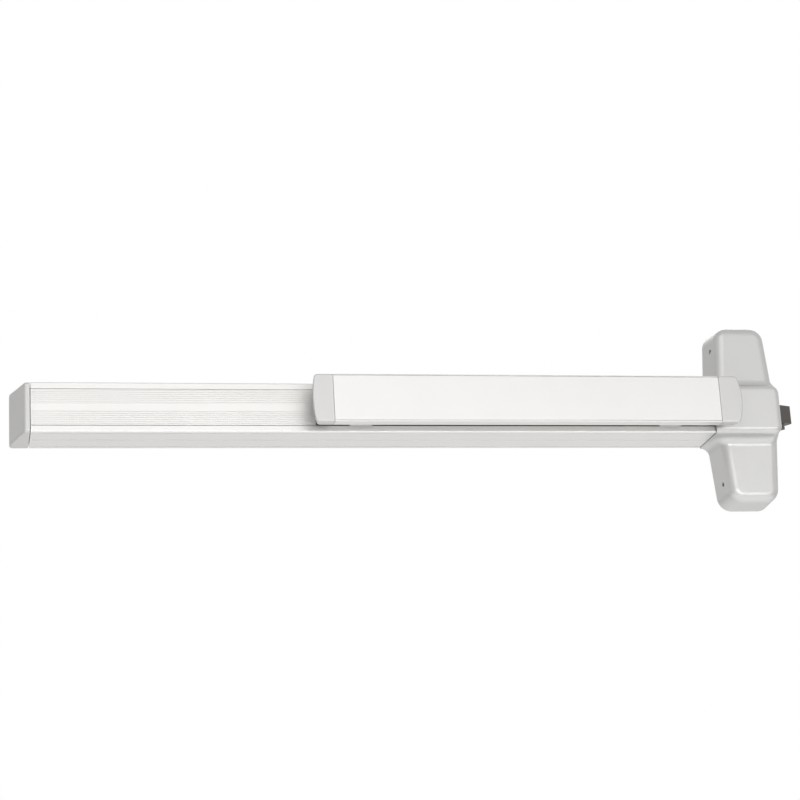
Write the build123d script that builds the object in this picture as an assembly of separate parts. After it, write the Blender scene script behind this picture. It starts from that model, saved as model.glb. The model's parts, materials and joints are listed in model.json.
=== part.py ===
from build123d import *
import math
import os

# Touch-bar panic exit device, rim type, for surface mounting on an outward-opening door.
# Millimetres. X runs along the bar with the latch at +X, Z is up, Y = 0 is the face of the door, and the
# device stands out towards -Y. The origin is the centre of the case's mounting face.

# ---- mechanism rail: extruded channel, a little narrower at the front than at the door ----
RAIL_LENGTH = 742.2
RAIL_DEPTH = 57.15
RAIL_BACK_HALF = 28.575
RAIL_FRONT_HALF = 27.0
RAIL_WALL = 2.0
RAIL_EDGE_RADIUS = 1.6
MOUTH_HALF = 20.0
FLANK_LINE_DEPTHS = (5.0, 29.0, 52.0)
FLANK_LINE_WIDTH = 2.4
FLANK_LINE_CUT = 0.5

# ---- grooved cover strip in the rail's mouth ----
COVER_FACE_THICKNESS = 2.5
COVER_STANDS_PROUD = 0.35
COVER_TUCK_UNDER_BAR = 9.0
COVER_LEG_THICKNESS = 1.8
COVER_LEG_INSET = 0.9
COVER_SIDE_GAP = 0.6
COVER_HOOK_REACH = 2.2
COVER_HOOK_DEPTH = 1.8
GROOVE_PITCH = 2.15
GROOVE_COUNT = 7
GROOVE_WIDTH = 0.9
GROOVE_CUT = 0.55
PLAIN_BAND_HALF = 4.0
PLAIN_BAND_CUT = 0.25

# ---- centre case: two tapered wings and a middle hump ----
CASE_HALF_HEIGHT = 102.4
CASE_HALF_WIDTH = 35.5
CASE_TAPER = 5.9
WING_DEPTH = 41.5
CASE_DEPTH = 60.3
CASE_DRAFT = 0.05
HUMP_BACK_HALF = 29.6
HUMP_FRONT_HALF = 28.1
COLLAR_LENGTH = 9.5
CASE_CORNER_RADIUS = 16.0
CASE_EDGE_RADIUS = 10.0
HUMP_EDGE_RADIUS = 7.0
CASE_WALL = 2.5
COVER_SCREW_FROM_TIP = 25.2
COVER_SCREW_DEPTH = 23.0
COVER_SCREW_HEAD_RADIUS = 2.3
COVER_SCREW_HEAD_THICKNESS = 1.4
COVER_SCREW_RECESS = 2.2
COVER_SCREW_SLOT_HALF = 0.4
COVER_SCREW_SLOT_DEPTH = 0.6
COVER_SCREW_RADIUS = 1.5
COVER_SCREW_LENGTH = 8.0
COVER_BOSS_RADIUS = 5.0
COVER_BOSS_HEIGHT = 2.2

# ---- case chassis ----
CHASSIS_THICKNESS = 3.0
CHASSIS_EDGE_GAP = 0.6
CHASSIS_TAB_THICKNESS = 3.0
CHASSIS_TAB_HALF = 7.0
CHASSIS_TAB_PAST_SCREW = 6.0
CHASSIS_EAR_THICKNESS = 2.5
CHASSIS_EAR_RADIUS = 8.0
CHASSIS_TONGUE_LENGTH = 41.0
CHASSIS_TONGUE_HALF = 18.0
DOOR_HOLE_X = 15.0
DOOR_HOLE_FROM_TIP = 14.4
DOOR_HOLE_RADIUS = 3.3

# ---- latch, a sector that turns on an upright pin ----
LATCH_PIVOT_FROM_SIDE = 17.0
LATCH_PIVOT_DEPTH = 44.0
LATCH_RADIUS = 39.0
LATCH_FACE_ANGLE = 19.75
LATCH_SECTOR_ANGLE = 66.0
LATCH_HEIGHT = 20.2
LATCH_CENTRE_Z = 1.0
LATCH_HUB_RADIUS = 7.0
LATCH_NOSE_RADIUS = 1.6
LATCH_PIN_RADIUS = 4.0
LATCH_PIN_HEAD_RADIUS = 6.0
LATCH_PIN_HEAD_THICKNESS = 1.8
LATCH_DRIVE_PIN_DEPTH_IN_BOLT = 6.0
LATCH_SPRING_SPACE = 5.9
LATCH_SPRING_WIRE = 1.3
LATCH_SPRING_TURNS = 2.5
DEAD_SPRING_WIRE = 1.0
DEAD_SPRING_TURNS = 1.5
SPRING_PIN_GAP = 0.3
SPRING_ARM = 5.0
SPRING_TANG = 2.5
BEND_TO_WIRE = 1.2
OPENING_GAP = 0.8
OPENING_FRONT = 41.0
OPENING_BACK = 4.6
OPENING_CUT = 12.0

# ---- deadlatch lever, on the same pin under the latch ----
DEADLATCH_RADIUS = 36.4
DEADLATCH_THICKNESS = 3.2
DEADLATCH_BELOW_LATCH = 1.6
DEADLATCH_TIP_ANGLE = 39.0
DEADLATCH_TIP_HALF_WIDTH = 4.0
DEADLATCH_SPRING_SPACE = 3.6

# ---- push bar ----
BAR_PROJECTION = 95.2
BAR_LENGTH = 424.8
BAR_SEAM_FROM_RAIL_END = 5.7
BAR_HALF_HEIGHT = 26.0
BAR_HEAD_DEPTH = 13.0
BAR_WALL = 2.0
BAR_EDGE_RADIUS = 0.9
BAR_RETURN_LIP = 8.3
BAR_RETURN_THICKNESS = 1.5
BAR_RIB_THICKNESS = 1.5
BAR_RIB_DEPTH = 9.0
BAR_CREASE_FROM_EDGE = 1.4
BAR_CREASE_WIDTH = 1.0
BAR_CREASE_CUT = 1.4
# Each cap's length past its seam, and the bow of its end.
BAR_CAP_LEFT = (20.3, 2.8)
BAR_CAP_RIGHT = (21.6, 4.6)
BAR_CAP_LEAN = 3.0
BAR_CAP_CORNER_RADIUS = 4.0
BAR_CAP_EDGE_RADIUS = 1.6
BAR_CAP_WALL = 2.2
BAR_CAP_SEAM = 0.4
BAR_TONGUE_LENGTH = 16.0
BAR_TONGUE_THICKNESS = 5.0

# ---- steel channel inside the push bar ----
CHANNEL_THICKNESS = 2.0
CHANNEL_HALF = 17.0
CHANNEL_REACH = 45.0
CHANNEL_SKIN_GAP = 0.2
CHANNEL_END_PAST_SEAM = 0.8
CHANNEL_SCREW_FROM_END = 30.0
CHANNEL_SCREW_RADIUS = 1.6
CHANNEL_SCREW_HEAD_RADIUS = 2.8
CHANNEL_SCREW_HEAD_THICKNESS = 1.8

# ---- bell cranks ----
CRANK_LEFT_FROM_SEAM = 56.2
CRANK_RIGHT_FROM_SEAM = 98.6
CRANK_PIVOT_DEPTH = 44.0
CRANK_BAR_ARM = 22.0
CRANK_ROD_ARM = 17.0
CRANK_SWING = 50.0
CRANK_HUB_RADIUS = 6.5
CRANK_ARM_RADIUS = 5.0
CRANK_PLATE_THICKNESS = 3.0
CRANK_PLATE_INNER = 6.0
CRANK_PIN_RADIUS = 2.5
CRANK_PIVOT_RADIUS = 3.0
BUSHING_WALL = 1.5
PIN_HEAD_RADIUS = 4.4
PIN_HEAD_THICKNESS = 1.4
CLIP_THICKNESS = 1.0
CLIP_WIDTH = 2.0
PIN_TAIL = 0.8

# ---- crank brackets, baseplate and its fasteners ----
PLATE_THICKNESS = 2.5
BASEPLATE_HALF = 18.0
BASEPLATE_PAST_BRACKET = 22.0
BRACKET_EAR_HALF = 9.0
BRACKET_BASE_HALF = 14.0
BRACKET_FOOT = 5.0
RIVET_RADIUS = 2.0
RIVET_HEAD_RADIUS = 3.4
RIVET_HEAD_THICKNESS = 1.3
RIVET_Z = 5.5
SCREW_RADIUS = 2.0
SCREW_HEAD_RADIUS = 3.6
SCREW_HEAD_THICKNESS = 2.0
SCREW_Z = 12.0
SCREW_FROM_END = 8.0
SCREW_TIP_GAP = 0.3

# ---- actuating rod, its spring, and the link to the latch ----
ROD_THICKNESS = 5.0
ROD_HEIGHT = 8.0
ROD_EYE_HALF = 7.0
ROD_END_PAST_EYE = 2.0
SPRING_FROM_CRANK = 93.0
SPRING_LENGTH = 70.0
SPRING_WIRE = 1.6
SPRING_ROD_GAP = 0.7
SPRING_TURNS = 12
ANCHOR_THICKNESS = 3.0
ANCHOR_HALF = 10.0
COLLAR_THICKNESS = 6.0
COLLAR_HALF = 7.2
CROSS_PIN_RADIUS = 1.5
COUPLER_FROM_RAIL_END = 18.3
COUPLER_LENGTH = 16.0
COUPLER_HALF = 6.0
COUPLER_FLOOR = 2.0
LINK_THICKNESS = 2.5
LINK_END_PAST_PIN = 4.0
LINK_SCREW_RADIUS = 1.75
LINK_SCREW_HEAD_RADIUS = 3.0
LINK_SCREW_HEAD_THICKNESS = 1.6
LINK_SCREW_SPREAD = 8.0
LINK_SCREW_SET_BACK = 2.0
LINK_SCREW_DEPTH = 5.0
LINK_ABOVE_LATCH = 0.9

# ---- glides and bumpers in the rail's mouth ----
GUIDE_LEFT_FROM_SEAM = 34.2
GUIDE_RIGHT_FROM_SEAM = 46.6
GUIDE_LENGTH = 24.0
GUIDE_PROUD = 3.4
GUIDE_BACK = 5.0
GUIDE_HOOK_REACH = 3.0
BUMPER_TOUCH_GAP = 0.3

# ---- hinge end: cap and bracket ----
END_CAP_FACE_LENGTH = 5.9
END_CAP_SLOPE = 13.7
END_CAP_BACK_DEPTH = 10.0
END_CAP_WALL = 2.2
END_CAP_EDGE_RADIUS = 3.0
END_CAP_BEND_RADIUS = 4.0
BRACKET_PLATE_THICKNESS = 3.0
BRACKET_PLATE_HALF = 19.0
BRACKET_TONGUE_LENGTH = 38.0
BRACKET_TONGUE_HALF = 15.0
BRACKET_HOLE_Z = 12.0
BRACKET_HOLE_RADIUS = 2.8
BRACKET_HOLE_FROM_RAIL = 8.0
END_SCREW_FROM_RAIL = 4.6
END_SCREW_DEPTH = 24.0
END_SCREW_RADIUS = 2.0
END_SCREW_HEAD_RADIUS = 3.1
END_SCREW_HEAD_THICKNESS = 1.8
END_SCREW_SUNK = 1.2
END_EAR_THICKNESS = 2.5
END_EAR_HALF = 4.0
END_EAR_PAST_SCREW = 5.0

# ---- clearances ----
JOINT_GAP = 0.7
RUNNING_GAP = 0.05
FREE_GAP = 0.3
FASTENER_GAP = 0.1
FIT_GAP = 0.02

# ---- places worked out from the sizes above ----
CASE_TIP_HALF_WIDTH = CASE_HALF_WIDTH - CASE_TAPER
COVER_SCREW_Z = CASE_HALF_HEIGHT - COVER_SCREW_FROM_TIP
DOOR_HOLE_Z = CASE_HALF_HEIGHT - DOOR_HOLE_FROM_TIP
COLLAR_REACH = CASE_HALF_WIDTH + COLLAR_LENGTH
RAIL_RIGHT_X = -(COLLAR_REACH + JOINT_GAP)
RAIL_LEFT_X = RAIL_RIGHT_X - RAIL_LENGTH
END_CAP_RIGHT_X = RAIL_LEFT_X - JOINT_GAP
HALF_SWING = math.radians(CRANK_SWING / 2)
BAR_TRAVEL = 2 * CRANK_BAR_ARM * math.sin(HALF_SWING)
ROD_TRAVEL = 2 * CRANK_ROD_ARM * math.sin(HALF_SWING)
BAR_PIN_Y = -CRANK_PIVOT_DEPTH - CRANK_BAR_ARM * math.sin(HALF_SWING)
ROD_PIN_X = CRANK_ROD_ARM * math.sin(HALF_SWING)
ROD_PIN_SHIFT = CRANK_ROD_ARM * (1 - math.cos(HALF_SWING))
ROD_PIN_Y = -CRANK_PIVOT_DEPTH + CRANK_ROD_ARM * math.cos(HALF_SWING)
ROD_Y = ROD_PIN_Y + ROD_PIN_SHIFT / 2
LATCH_BOTTOM = LATCH_CENTRE_Z - LATCH_HEIGHT / 2
LATCH_TOP = LATCH_CENTRE_Z + LATCH_HEIGHT / 2
BAR_BACK_Y = -BAR_PROJECTION + BAR_HEAD_DEPTH
BAR_SKIN_Y = -BAR_PROJECTION + BAR_WALL
CHANNEL_FRONT_Y = BAR_SKIN_Y + CHANNEL_SKIN_GAP
CHANNEL_BACK_Y = CHANNEL_FRONT_Y + CHANNEL_REACH
BAR_SEAM_X = RAIL_RIGHT_X - BAR_SEAM_FROM_RAIL_END
BAR_LEFT_SEAM_X = BAR_SEAM_X - BAR_LENGTH
CRANK_LEFT_X = BAR_LEFT_SEAM_X + CRANK_LEFT_FROM_SEAM
CRANK_RIGHT_X = BAR_SEAM_X - CRANK_RIGHT_FROM_SEAM
SPRING_START_X = CRANK_LEFT_X + SPRING_FROM_CRANK
GUIDE_LEFT_X = BAR_LEFT_SEAM_X + GUIDE_LEFT_FROM_SEAM
GUIDE_RIGHT_X = BAR_SEAM_X - GUIDE_RIGHT_FROM_SEAM
COUPLER_LEFT_X = RAIL_RIGHT_X - COUPLER_FROM_RAIL_END
LATCH_PIVOT_X = CASE_HALF_WIDTH - LATCH_PIVOT_FROM_SIDE
PLATE_Y = -RAIL_WALL - PLATE_THICKNESS
EAR_INNER = CRANK_PLATE_INNER + CRANK_PLATE_THICKNESS + 1.1
# The turning pins leave a straight line by this share of their arm over the swing.
ARC_ERROR = 0.0052


# ---- small shape helpers ----
def block(x, y, z):
    """A box from its (low, high) limits along each axis."""
    size = Box(x[1] - x[0], y[1] - y[0], z[1] - z[0], align=(Align.MIN, Align.MIN, Align.MIN))
    return Pos(x[0], y[0], z[0]) * size


def turned(radius, length):
    return Cylinder(radius, length, align=(Align.CENTER, Align.CENTER, Align.MIN))


def pin_z(x, y, z, radius):
    """An upright round bar from z[0] to z[1]."""
    return Pos(x, y, z[0]) * turned(radius, z[1] - z[0])


def pin_y(x, z, y, radius):
    """A round bar along Y from y[0] to y[1]."""
    return Pos(x, y[0], z) * Rot(-90, 0, 0) * turned(radius, y[1] - y[0])


def pin_x(y, z, x, radius):
    """A round bar along X from x[0] to x[1]."""
    return Pos(x[0], y, z) * Rot(0, 90, 0) * turned(radius, x[1] - x[0])


def prism(points, direction):
    face = Face(Wire.make_polygon([Vector(*p) for p in points], close=True))
    return Part() + Solid.extrude(face, Vector(*direction))


def section_x(points, x):
    """A YZ outline drawn along X."""
    return prism([(x[0], y, z) for y, z in points], (x[1] - x[0], 0, 0))


def plate_z(points, z):
    """An XY outline drawn along Z."""
    return prism([(x, y, z[0]) for x, y in points], (0, 0, z[1] - z[0]))


def plate_y(points, y):
    """An XZ outline drawn along Y."""
    return prism([(x, y[0], z) for x, z in points], (0, y[1] - y[0], 0))


def both_sides(shape):
    """The shape and its mirror image across the device's middle plane."""
    return [shape, mirror(shape, about=Plane.XY)]


def slot_z(x, y, half_x, half_y, radius, z):
    """An upright cutter with an obround section: a round of this radius moved over +-half_x, +-half_y."""
    cutter = block((x - half_x - radius, x + half_x + radius), (y - half_y - radius, y + half_y + radius), z)
    return fillet(cutter.edges().filter_by(Axis.Z), radius * 0.98)


def along(edge, test):
    return all(test(edge @ share) for share in (0, 0.5, 1))


def near(value, target, slack=0.03):
    return abs(value - target) < slack


def write(name, *shapes):
    """Writes one node, each of its solids apart from the others."""
    solids = [solid for shape in shapes for solid in shape.solids()]
    whole = solids[0] if len(solids) == 1 else Compound(children=solids)
    export_step(whole, f"parts/{name}.step")


# ---- rail, its cover strip and the hinge-end cap ----
def rail_half(y):
    """Half height of the rail's outside at depth y."""
    return RAIL_BACK_HALF - (RAIL_BACK_HALF - RAIL_FRONT_HALF) * (-y) / RAIL_DEPTH


def rail_block(x, inset, back_inset):
    """The rail's outside shape, drawn in by a wall."""
    front, back = -RAIL_DEPTH + inset, -back_inset
    points = [
        (back, rail_half(back) - inset),
        (front, rail_half(front) - inset),
        (front, -rail_half(front) + inset),
        (back, -rail_half(back) + inset),
    ]
    return section_x(points, x)


def rounded_rail_block(x):
    body = rail_block(x, 0, 0)
    front = [e for e in body.edges().filter_by(Axis.X) if near(e.center().Y, -RAIL_DEPTH)]
    return fillet(front, RAIL_EDGE_RADIUS)


def wall_screw(x, z, head_y):
    """A pan-head screw through a plate into the rail's back wall."""
    shank = pin_y(x, z, (head_y, -SCREW_TIP_GAP), SCREW_RADIUS)
    head = pin_y(x, z, (head_y - SCREW_HEAD_THICKNESS, head_y), SCREW_HEAD_RADIUS)
    head = fillet(head.edges().sort_by(Axis.Y)[0], SCREW_HEAD_THICKNESS * 0.4)
    recess = SCREW_HEAD_THICKNESS * 0.55
    slot = block((x - 0.5, x + 0.5), (head_y - SCREW_HEAD_THICKNESS, head_y - recess), (z - 2.4, z + 2.4))
    cross = block((x - 2.4, x + 2.4), (head_y - SCREW_HEAD_THICKNESS, head_y - recess), (z - 0.5, z + 0.5))
    return shank + head - slot - cross


def screw_places(x_places):
    return [(x, z) for x in x_places for z in (-SCREW_Z, SCREW_Z)]


BASEPLATE_X = (CRANK_LEFT_X - BRACKET_BASE_HALF - BASEPLATE_PAST_BRACKET,
               CRANK_RIGHT_X + BRACKET_BASE_HALF + BASEPLATE_PAST_BRACKET)
CHASSIS_TONGUE_X = (RAIL_RIGHT_X - CHASSIS_TONGUE_LENGTH, -CASE_HALF_WIDTH + 6)
BRACKET_TONGUE_X = (RAIL_LEFT_X - 6, RAIL_LEFT_X + BRACKET_TONGUE_LENGTH)
BASEPLATE_SCREWS = screw_places((BASEPLATE_X[0] + SCREW_FROM_END, BASEPLATE_X[1] - SCREW_FROM_END))
TIE_SCREWS = screw_places((CHASSIS_TONGUE_X[0] + SCREW_FROM_END,))
TONGUE_SCREWS = [(BRACKET_TONGUE_X[1] - SCREW_FROM_END, z) for z in (-SCREW_Z * 0.75, SCREW_Z * 0.75)]


def screw_holes(places, y):
    return [pin_y(x, z, y, SCREW_RADIUS + FASTENER_GAP) for x, z in places]


def make_rail():
    x = (RAIL_LEFT_X, RAIL_RIGHT_X)
    body = rounded_rail_block(x) - rail_block(x, RAIL_WALL, RAIL_WALL)
    body -= block(x, (-RAIL_DEPTH - 1, -RAIL_DEPTH + RAIL_WALL + 1), (-MOUTH_HALF, MOUTH_HALF))
    for depth in FLANK_LINE_DEPTHS:
        low, high = -depth - FLANK_LINE_WIDTH / 2, -depth + FLANK_LINE_WIDTH / 2
        bottom = rail_half(-depth) - FLANK_LINE_CUT
        for line in both_sides(block(x, (low, high), (bottom, bottom + 3))):
            body -= line
    for hole in screw_holes(BASEPLATE_SCREWS + TIE_SCREWS + TONGUE_SCREWS, (-RAIL_WALL - 1, 1)):
        body -= hole
    write("rail_housing", body)


def make_rail_cover():
    right = BAR_LEFT_SEAM_X - sum(BAR_CAP_LEFT) + COVER_TUCK_UNDER_BAR
    x = (RAIL_LEFT_X, right)
    half = MOUTH_HALF - COVER_SIDE_GAP
    front = -RAIL_DEPTH - COVER_STANDS_PROUD
    back = front + COVER_FACE_THICKNESS
    body = block(x, (front, back), (-half, half))
    lip_back = -RAIL_DEPTH + RAIL_WALL + FREE_GAP / 2
    leg_top = half - COVER_LEG_INSET
    leg = block(x, (back, lip_back + COVER_HOOK_DEPTH), (leg_top - COVER_LEG_THICKNESS, leg_top))
    hook_z = (leg_top, half + COVER_HOOK_REACH)
    hook = block(x, (lip_back, lip_back + COVER_HOOK_DEPTH), hook_z)
    for piece in both_sides(leg) + both_sides(hook):
        body += piece
    for i in range(GROOVE_COUNT):
        centre = PLAIN_BAND_HALF + (i + 0.5) * GROOVE_PITCH
        groove_z = (centre - GROOVE_WIDTH / 2, centre + GROOVE_WIDTH / 2)
        groove = block(x, (front - 1, front + GROOVE_CUT), groove_z)
        for cut in both_sides(groove):
            body -= cut
    body -= block(x, (front - 1, front + PLAIN_BAND_CUT), (-PLAIN_BAND_HALF, PLAIN_BAND_HALF))
    write("rail_cover", body)


def end_cap_block(inset, right, back):
    """The cap's outside shape: the rail's section, cut off by an end face that slopes, then runs straight."""
    lean = math.hypot(END_CAP_SLOPE, RAIL_DEPTH - END_CAP_BACK_DEPTH) / (RAIL_DEPTH - END_CAP_BACK_DEPTH)
    front_x = END_CAP_RIGHT_X - END_CAP_FACE_LENGTH + inset * lean
    back_x = END_CAP_RIGHT_X - END_CAP_FACE_LENGTH - END_CAP_SLOPE + inset
    steepness = END_CAP_SLOPE / (RAIL_DEPTH - END_CAP_BACK_DEPTH)
    front = -RAIL_DEPTH + inset
    face_front_x = front_x - steepness * inset
    bend_y = -RAIL_DEPTH + (front_x - back_x) / steepness
    points = [(back_x, back), (right, back), (right, front), (face_front_x, front), (back_x, bend_y)]
    side = plate_z(points, (-RAIL_BACK_HALF - 1, RAIL_BACK_HALF + 1))
    return side & rail_block((back_x - 5, right + 5), inset, 0)


END_SCREW_X = END_CAP_RIGHT_X - END_SCREW_FROM_RAIL
END_SCREW_SEAT = rail_half(-END_SCREW_DEPTH) - END_SCREW_SUNK


def make_end_cap():
    body = end_cap_block(0, END_CAP_RIGHT_X, 0)
    front = [e for e in body.edges().filter_by(Axis.X) if near(e.center().Y, -RAIL_DEPTH)]
    body = fillet(front, END_CAP_EDGE_RADIUS)
    end_x = END_CAP_RIGHT_X - END_CAP_FACE_LENGTH
    bend = [e for e in body.edges().filter_by(Axis.Z) if e.center().X < end_x - 1 and e.center().Y < -1]
    body = fillet(bend, END_CAP_BEND_RADIUS)
    sides = [e for e in body.edges() if e.center().X < end_x - 1 and e.center().Y < -1]
    sides = [e for e in sides if abs(e.center().Z) > RAIL_FRONT_HALF - 1]
    body = fillet(sides, END_CAP_EDGE_RADIUS)
    body -= end_cap_block(END_CAP_WALL, END_CAP_RIGHT_X + 1, 0)
    body -= pin_z(END_SCREW_X, -END_SCREW_DEPTH, (0, RAIL_BACK_HALF + 1), END_SCREW_RADIUS + FASTENER_GAP)
    seat = pin_z(END_SCREW_X, -END_SCREW_DEPTH, (END_SCREW_SEAT, RAIL_BACK_HALF + 1),
                 END_SCREW_HEAD_RADIUS + FREE_GAP)
    write("end_cap", body - seat)


def make_end_bracket():
    back_x = END_CAP_RIGHT_X - END_CAP_FACE_LENGTH - END_CAP_SLOPE + END_CAP_WALL + 3.2
    plate_right = RAIL_LEFT_X - FREE_GAP
    plate_half = (-BRACKET_PLATE_HALF, BRACKET_PLATE_HALF)
    body = block((back_x, plate_right), (-BRACKET_PLATE_THICKNESS, 0), plate_half)
    tongue_y = (-RAIL_WALL - BRACKET_PLATE_THICKNESS, -RAIL_WALL)
    body += block(BRACKET_TONGUE_X, tongue_y, (-BRACKET_TONGUE_HALF, BRACKET_TONGUE_HALF))
    ear_top = rail_half(-END_SCREW_DEPTH - END_EAR_PAST_SCREW) - END_CAP_WALL - FREE_GAP
    ear_x = (END_SCREW_X - END_EAR_HALF, END_SCREW_X + END_EAR_HALF)
    body += block(ear_x, (-BRACKET_PLATE_THICKNESS, 0), (0, ear_top))
    body += block(ear_x, (-END_SCREW_DEPTH - END_EAR_PAST_SCREW, 0), (ear_top - END_EAR_THICKNESS, ear_top))
    for z in (-BRACKET_HOLE_Z, BRACKET_HOLE_Z):
        body -= pin_y(RAIL_LEFT_X - BRACKET_HOLE_FROM_RAIL, z, (-9, 1), BRACKET_HOLE_RADIUS)
    for hole in screw_holes(TONGUE_SCREWS, (-9, 1)):
        body -= hole
    body -= pin_z(END_SCREW_X, -END_SCREW_DEPTH, (0, ear_top + 1), END_SCREW_RADIUS + FASTENER_GAP)
    write("end_cap_bracket", body)
    write("bracket_tongue_screws", *[wall_screw(x, z, tongue_y[0]) for x, z in TONGUE_SCREWS])
    shank_z = (ear_top - END_EAR_THICKNESS - 2, END_SCREW_SEAT)
    shank = pin_z(END_SCREW_X, -END_SCREW_DEPTH, shank_z, END_SCREW_RADIUS)
    top = END_SCREW_SEAT + END_SCREW_HEAD_THICKNESS
    head = pin_z(END_SCREW_X, -END_SCREW_DEPTH, (END_SCREW_SEAT, top), END_SCREW_HEAD_RADIUS)
    head = fillet(head.edges().sort_by(Axis.Z)[-1], END_SCREW_HEAD_THICKNESS * 0.4)
    slot_y = (-END_SCREW_DEPTH - 0.5, -END_SCREW_DEPTH + 0.5)
    slot = block((END_SCREW_X - 4, END_SCREW_X + 4), slot_y, (top - 0.8, top))
    write("end_cap_screw", shank + head - slot)


# ---- baseplate, crank brackets and the spring anchor ----
def rivet(x, z, top_y):
    """A domed rivet through a foot and the baseplate."""
    shank = pin_y(x, z, (top_y, -RAIL_WALL), RIVET_RADIUS)
    head = pin_y(x, z, (top_y - RIVET_HEAD_THICKNESS, top_y), RIVET_HEAD_RADIUS)
    return shank + fillet(head.edges().sort_by(Axis.Y)[0], RIVET_HEAD_THICKNESS * 0.7)


FOOT_Y = PLATE_Y - PLATE_THICKNESS
RIVET_STEP = CRANK_HUB_RADIUS + BRACKET_FOOT / 2
BRACKET_RIVETS = [(x0 + dx, z) for x0 in (CRANK_LEFT_X, CRANK_RIGHT_X)
                  for dx in (-RIVET_STEP, RIVET_STEP) for z in (-RIVET_Z, RIVET_Z)]
ANCHOR_FOOT_X = (SPRING_START_X - ANCHOR_THICKNESS - 2 * BRACKET_FOOT, SPRING_START_X)
ANCHOR_RIVETS = [(ANCHOR_FOOT_X[0] + BRACKET_FOOT, z) for z in (-RIVET_Z, RIVET_Z)]


def rivet_holes(places):
    return [pin_y(x, z, (FOOT_Y - 1, 0), RIVET_RADIUS + FASTENER_GAP) for x, z in places]


def make_baseplate():
    body = block(BASEPLATE_X, (PLATE_Y, -RAIL_WALL), (-BASEPLATE_HALF, BASEPLATE_HALF))
    for hole in screw_holes(BASEPLATE_SCREWS, (PLATE_Y - 1, 0)) + rivet_holes(BRACKET_RIVETS + ANCHOR_RIVETS):
        body -= hole
    write("mechanism_baseplate", body)
    write("baseplate_screws", *[wall_screw(x, z, PLATE_Y) for x, z in BASEPLATE_SCREWS])
    write("plate_rivets", *[rivet(x, z, FOOT_Y) for x, z in BRACKET_RIVETS + ANCHOR_RIVETS])


def make_crank_bracket(name, x0):
    outer = EAR_INNER + PLATE_THICKNESS
    body = block((x0 - BRACKET_BASE_HALF, x0 + BRACKET_BASE_HALF), (FOOT_Y, PLATE_Y), (-outer, outer))
    ear_x = (x0 - BRACKET_EAR_HALF, x0 + BRACKET_EAR_HALF)
    ear = block(ear_x, (-CRANK_PIVOT_DEPTH, PLATE_Y), (EAR_INNER, outer))
    ear += pin_z(x0, -CRANK_PIVOT_DEPTH, (EAR_INNER, outer), BRACKET_EAR_HALF)
    for side in both_sides(ear):
        body += side
    body -= pin_z(x0, -CRANK_PIVOT_DEPTH, (-outer - 1, outer + 1), CRANK_PIVOT_RADIUS + RUNNING_GAP)
    for hole in rivet_holes(BRACKET_RIVETS):
        body -= hole
    write(name, body)


def make_pivot_pins():
    outer = EAR_INNER + PLATE_THICKNESS
    tail = outer + FREE_GAP + CLIP_THICKNESS + PIN_TAIL
    pins = []
    clips = []
    for x0 in (CRANK_LEFT_X, CRANK_RIGHT_X):
        pin = pin_z(x0, -CRANK_PIVOT_DEPTH, (-tail, outer), CRANK_PIVOT_RADIUS)
        pins.append(pin + pin_z(x0, -CRANK_PIVOT_DEPTH, (outer, outer + PIN_HEAD_THICKNESS), PIN_HEAD_RADIUS))
        clip_z = -outer - FREE_GAP - CLIP_THICKNESS
        clips.append(clip_ring(x0, -CRANK_PIVOT_DEPTH, clip_z, CRANK_PIVOT_RADIUS))
    write("crank_pivot_pins", *pins)
    write("pivot_clips", *clips)


def clip_ring(x, y, z, radius):
    """An open retaining ring around a pin."""
    levels = (z, z + CLIP_THICKNESS)
    ring = pin_z(x, y, levels, radius + CLIP_WIDTH) - pin_z(x, y, levels, radius + RUNNING_GAP)
    return ring - block((x - 1, x + 1), (y, y + radius + CLIP_WIDTH + 1), levels)


def make_spring_anchor():
    reach = ROD_Y - ANCHOR_HALF
    body = block(ANCHOR_FOOT_X, (FOOT_Y, PLATE_Y), (-ANCHOR_HALF, ANCHOR_HALF))
    wall_x = (SPRING_START_X - ANCHOR_THICKNESS, SPRING_START_X)
    body += block(wall_x, (reach, PLATE_Y), (-ANCHOR_HALF, ANCHOR_HALF))
    half_y, half_z = ROD_THICKNESS / 2 + FREE_GAP, ROD_HEIGHT / 2 + FREE_GAP
    body -= block((wall_x[0] - 1, wall_x[1] + 1), (ROD_Y - half_y, ROD_Y + half_y), (-half_z, half_z))
    for hole in rivet_holes(ANCHOR_RIVETS):
        body -= hole
    write("spring_anchor", body)


# ---- bell cranks ----
def arm_plate(x0, y0, length, angle, z):
    """A flat arm with round ends from a pivot to a pin."""
    half = CRANK_ARM_RADIUS
    bar = Pos(0, 0, z[0]) * Box(length, 2 * half, z[1] - z[0], align=(Align.MIN, Align.CENTER, Align.MIN))
    bar += pin_z(length, 0, z, half)
    return Pos(x0, y0, 0) * Rot(0, 0, angle) * bar


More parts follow.
